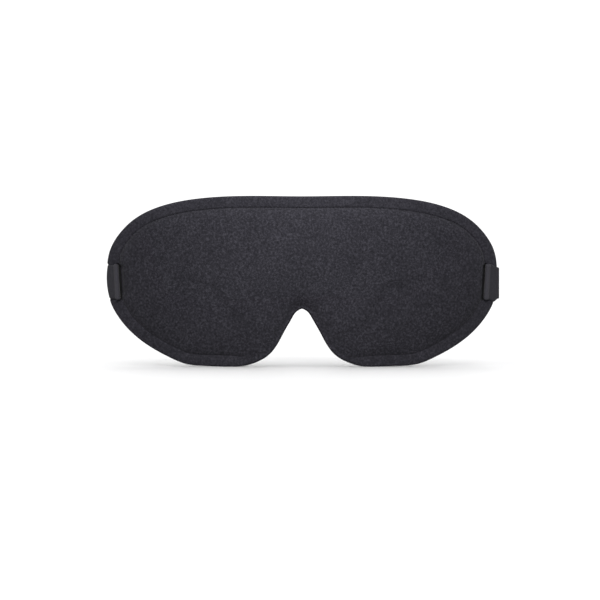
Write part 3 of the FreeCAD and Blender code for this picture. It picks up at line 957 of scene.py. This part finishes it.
def lining_material(name, light, wale):
    """Brushed face-side knit: softer and finer than the cover."""
    make = Shader(name, roughness=0.92, specular=0.12, sheen=0.12, sheen_roughness=0.35)
    place = make.node("ShaderNodeTexCoord").outputs["Object"]
    nap = make.noise(place, 900.0, 3.0, 0.65)
    patch = make.noise(place, 60.0, 2.0, 0.5)
    mixed = make.plus(make.times(nap, 0.75), make.times(patch, 0.25))
    # Painted shade: the cut walls of the slots and the hidden cap go near black, down to the ramp's
    # darkest stop.
    mixed = make.minus(mixed, make.off_skin_shade())
    dark = tuple(light * c * 0.55 for c in (1.0, 0.98, 1.1))
    pale = tuple(light * c * 1.5 for c in (1.0, 0.98, 1.1))
    colour = make.ramp(mixed, ((0.25, dark), (0.78, pale), (0.0, tuple(c / 5 for c in dark))))
    knit = knit_height(make, place, wale, wale * 0.8)
    bumpy = make.plus(make.times(knit, 0.5), nap)
    return make.finish(colour, make.bump(bumpy, 0.16 * MM, 0.7))


def elastic_material():
    """Woven elastic: fine cords along the strap and tight picks across it, with a painted highlight
    over a crest.
    """
    make = Shader("elastic_weave", roughness=0.8, specular=0.14, sheen=0.06, sheen_roughness=0.4)
    weave = make.node("ShaderNodeUVMap", uv_map="weave").outputs["UV"]
    split = make.node("ShaderNodeSeparateXYZ", {"Vector": weave})
    along = make.times(split.outputs["X"], 2 * math.pi / (PICK_PITCH * UV_PER_MM))
    across = make.times(split.outputs["Y"], 2 * math.pi / (CORD_PITCH * UV_PER_MM))
    offset = make.times(make.math("SIGN", make.sine(across)), math.pi / 2)
    picks = make.sine(make.plus(along, offset))
    cords = make.absolute(make.sine(across))
    height = make.plus(make.times(picks, 0.35), make.times(cords, 0.6))
    place = make.node("ShaderNodeTexCoord").outputs["Object"]
    fibre = make.noise(place, 1500.0, 3.0, 0.65)
    crest_highlight = make.node("ShaderNodeAttribute", attribute_name="crest_highlight").outputs["Fac"]
    shade = make.plus(make.times(height, 0.2), make.times(fibre, 0.7))
    # Painted highlight: the crest of a bend is coloured paler.
    shade = make.plus(shade, make.times(crest_highlight, 0.3))
    colour = make.ramp(shade, ((0.1, (0.0028, 0.0027, 0.0037)), (1.0, (0.0280, 0.0270, 0.0330))))
    both = make.plus(height, make.times(fibre, 0.5))
    return make.finish(colour, make.bump(both, 0.14 * MM, 0.8))


def plastic_material():
    """Matt moulded plastic with a faint grain and cloudy wear."""
    make = Shader("slider_plastic", roughness=0.6, specular=0.2)
    place = make.node("ShaderNodeTexCoord").outputs["Object"]
    grain = make.noise(place, 1500.0, 3.0, 0.6)
    cloud = make.noise(place, 120.0, 2.0, 0.5)
    colour = make.ramp(cloud, ((0.3, (0.012, 0.012, 0.013)), (0.7, (0.018, 0.018, 0.0195))))
    rough = make.plus(make.times(cloud, 0.2), 0.5)
    return make.finish(colour, make.bump(grain, 0.03 * MM, 0.5), rough)


def thread_material():
    """Twisted polyester thread."""
    make = Shader("sewing_thread", roughness=0.6, specular=0.4, sheen=0.1)
    place = make.node("ShaderNodeTexCoord").outputs["Object"]
    twist = make.node("ShaderNodeTexWave", {"Vector": place, "Scale": 900.0, "Distortion": 1.0},
                      bands_direction="DIAGONAL").outputs["Fac"]
    colour = make.ramp(twist, ((0.1, (0.03, 0.03, 0.033)), (0.9, (0.085, 0.084, 0.09))))
    return make.finish(colour, make.bump(twist, 0.05 * MM, 0.8))


def floor_material():
    """A plain pale studio floor with the slightest unevenness."""
    make = Shader("studio_floor", roughness=0.55, specular=0.2)
    place = make.node("ShaderNodeTexCoord").outputs["Object"]
    cloud = make.noise(place, 3.0, 2.0, 0.5)
    colour = make.ramp(cloud, ((0.2, (0.95, 0.95, 0.955)), (0.8, (0.962, 0.962, 0.964))))
    return make.finish(colour)


# ---- putting it together ---------------------------------------------
def build_mask(cover, lining, cup_lining):
    """The two halves of the padded mask, its eye cups and nose wings."""
    inner = grid_inside(GRID_STEP, NEAR_GROOVE[-1] + 1.3)
    front = mask_half("front_panel", front_height, 1, inner, cover)
    cut_slots(front, COVER_SLOT)
    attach(front, "mask")
    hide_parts("front_cover", "blackout_film", "foam_core")

    # Behind, rings of points take the place of the grid on the walls of the eye cups.
    rings = eye_rings()
    distance, index = edge_distance(rings)
    rings = rings[distance > RIM_WIDTH[index] + NEAR_GROOVE[-1] + 0.8]
    open_pad = inner[~in_eye(inner, 5.3)]
    floors = inner[in_eye(inner, -11.6)]
    inner = np.concatenate([open_pad, rings, floors])
    rear = mask_half("face_pad", rear_height, -1, inner, lining)
    cut_slots(rear, LINING_SLOT)
    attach(rear, "mask")
    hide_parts("face_cushion", "face_lining")

    for side, word, body in ((1, "right", "nose_wing_r"), (-1, "left", "nose_wing_l")):
        cup = eye_cup("eye_cup_" + word + "_liner", side, cup_lining)
        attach(cup, "mask")
        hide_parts("eye_cup_" + word)
        wing = nose_wing("nose_fin_" + word, side, lining)
        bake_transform(wing)
        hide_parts("nose_wing_" + word)


def build_strap(elastic, thread, plastic):
    """Every length of the elastic strap, its slide adjuster and stitches."""
    for word, side, fold_x, follows in (("right", 1, FOLD_RIGHT_X, False),
                                        ("left", -1, FOLD_LEFT_X, True)):
        piece = threaded_strap("strap_wrap_" + word, fold_x, follows, side, elastic)
        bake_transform(piece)
        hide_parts("strap_thread_" + word)
        piece = straight_strap("strap_side_" + word, ARM_X, JOIN_Y, ARM_END_Y, elastic, side)
        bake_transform(piece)
        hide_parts("strap_arm_" + word)

    piece = rear_strap("strap_back_band", elastic)
    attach(piece, "strap_rear")
    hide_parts("strap_rear_band")

    piece = straight_strap("strap_sewn_tail", LAYER_X, JOIN_Y, TAIL_HIGH[1], elastic, -1)
    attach(piece, "strap_sides")
    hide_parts("strap_tail_left")

    piece = straight_strap("strap_return", LAYER_X, JOIN_Y, LAYER_HIGH[1], elastic)
    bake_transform(piece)
    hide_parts("strap_return_layer")

    piece = end_loop("strap_loop", elastic)
    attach(piece, "adjuster")
    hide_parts("strap_end_loop")

    piece = slider("slide_buckle", plastic)
    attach(piece, "adjuster")
    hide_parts("slide_adjuster")

    tail_seats = ((node_box("tail_stitches")[1][0], -1), (TAIL_HIGH[0], 1))
    loop_seats = ((node_box("loop_stitches")[1][0], -1),)
    for name, node, seats, body in (
        ("tail_seam", "tail_stitches", tail_seats, "strap_sides"),
        ("loop_seam", "loop_stitches", loop_seats, "adjuster"),
    ):
        piece = stitches(name, node, seats, thread)
        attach(piece, body)
        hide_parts(node)


# ---- floor, light and camera -----------------------------------------
FLOOR_HALF = 4000.0
SKY = 1.2                                # strength of the white light from all round
KEY_PLACE = (0.0, -0.85, 0.85)           # metres, like the light's radius
KEY_RADIUS, KEY_WATTS = 0.12, 230.0
KEY_CONE = math.radians(14.0)
KEY_AIM = (0.0, 5.0, 52.0)               # high on the mask: its top is lit most
LENS, SENSOR = 400.0, 36.0               # a long lens, as in a product photograph
CAMERA_AIM = (-1.2, 6.0, 5.4)
CAMERA_RISE = math.radians(2.0)
VIEW_WIDTH = 365.4                       # what the picture's width spans at the mask


def turned_to(place, aim):
    """The rotation of a light or camera at a place, looking at its aim."""
    return (aim - Vector(place)).to_track_quat("-Z", "Y").to_euler()


def build_stage():
    """Floor, light and camera."""
    floor_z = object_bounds()[0][2] / MM
    corners = [(x * FLOOR_HALF, y * FLOOR_HALF, floor_z)
               for x, y in ((-1, -1), (1, -1), (1, 1), (-1, 1))]
    floor = make_piece("floor", corners, [(0, 1, 2, 3)], floor_material())

    world = bpy.data.worlds.new("studio")
    world.use_nodes = True
    sky = world.node_tree.nodes["Background"].inputs
    sky["Color"].default_value = (1, 1, 1, 1)
    sky["Strength"].default_value = SKY
    bpy.context.scene.world = world
    bpy.context.scene.view_settings.view_transform = "Standard"

    data = bpy.data.lights.new("key", "SPOT")
    data.energy = KEY_WATTS
    data.spot_size, data.spot_blend = KEY_CONE, 1.0
    data.shadow_soft_size = KEY_RADIUS
    light = bpy.data.objects.new("key", data)
    light.location = KEY_PLACE
    light.rotation_euler = turned_to(light.location, Vector(KEY_AIM) * MM)
    bpy.context.scene.collection.objects.link(light)
    light.light_linking.receiver_collection = bpy.data.collections.new("lit_by_key")

    data = bpy.data.cameras.new("camera")
    data.lens, data.sensor_width = LENS, SENSOR
    data.clip_end = 50.0
    camera = bpy.data.objects.new("camera", data)
    aim = Vector(CAMERA_AIM) * MM
    distance = VIEW_WIDTH * MM * LENS / SENSOR
    camera.location = aim + Vector((0, -math.cos(CAMERA_RISE), math.sin(CAMERA_RISE))) * distance
    camera.rotation_euler = turned_to(camera.location, aim)
    bpy.context.scene.collection.objects.link(camera)
    bpy.context.scene.camera = camera


def light_pieces():
    """Gives every piece, but not the floor, to the key light."""
    light = bpy.data.objects["key"]
    for piece in bpy.context.scene.objects:
        if piece.type == "MESH" and piece.name != "floor":
            light.light_linking.receiver_collection.objects.link(piece)


build_stage()
build_mask(cover_material(), lining_material("lining_knit", 0.033, 0.7),
           lining_material("cup_knit", 0.028, 0.5))
build_strap(elastic_material(), thread_material(), plastic_material())
light_pieces()
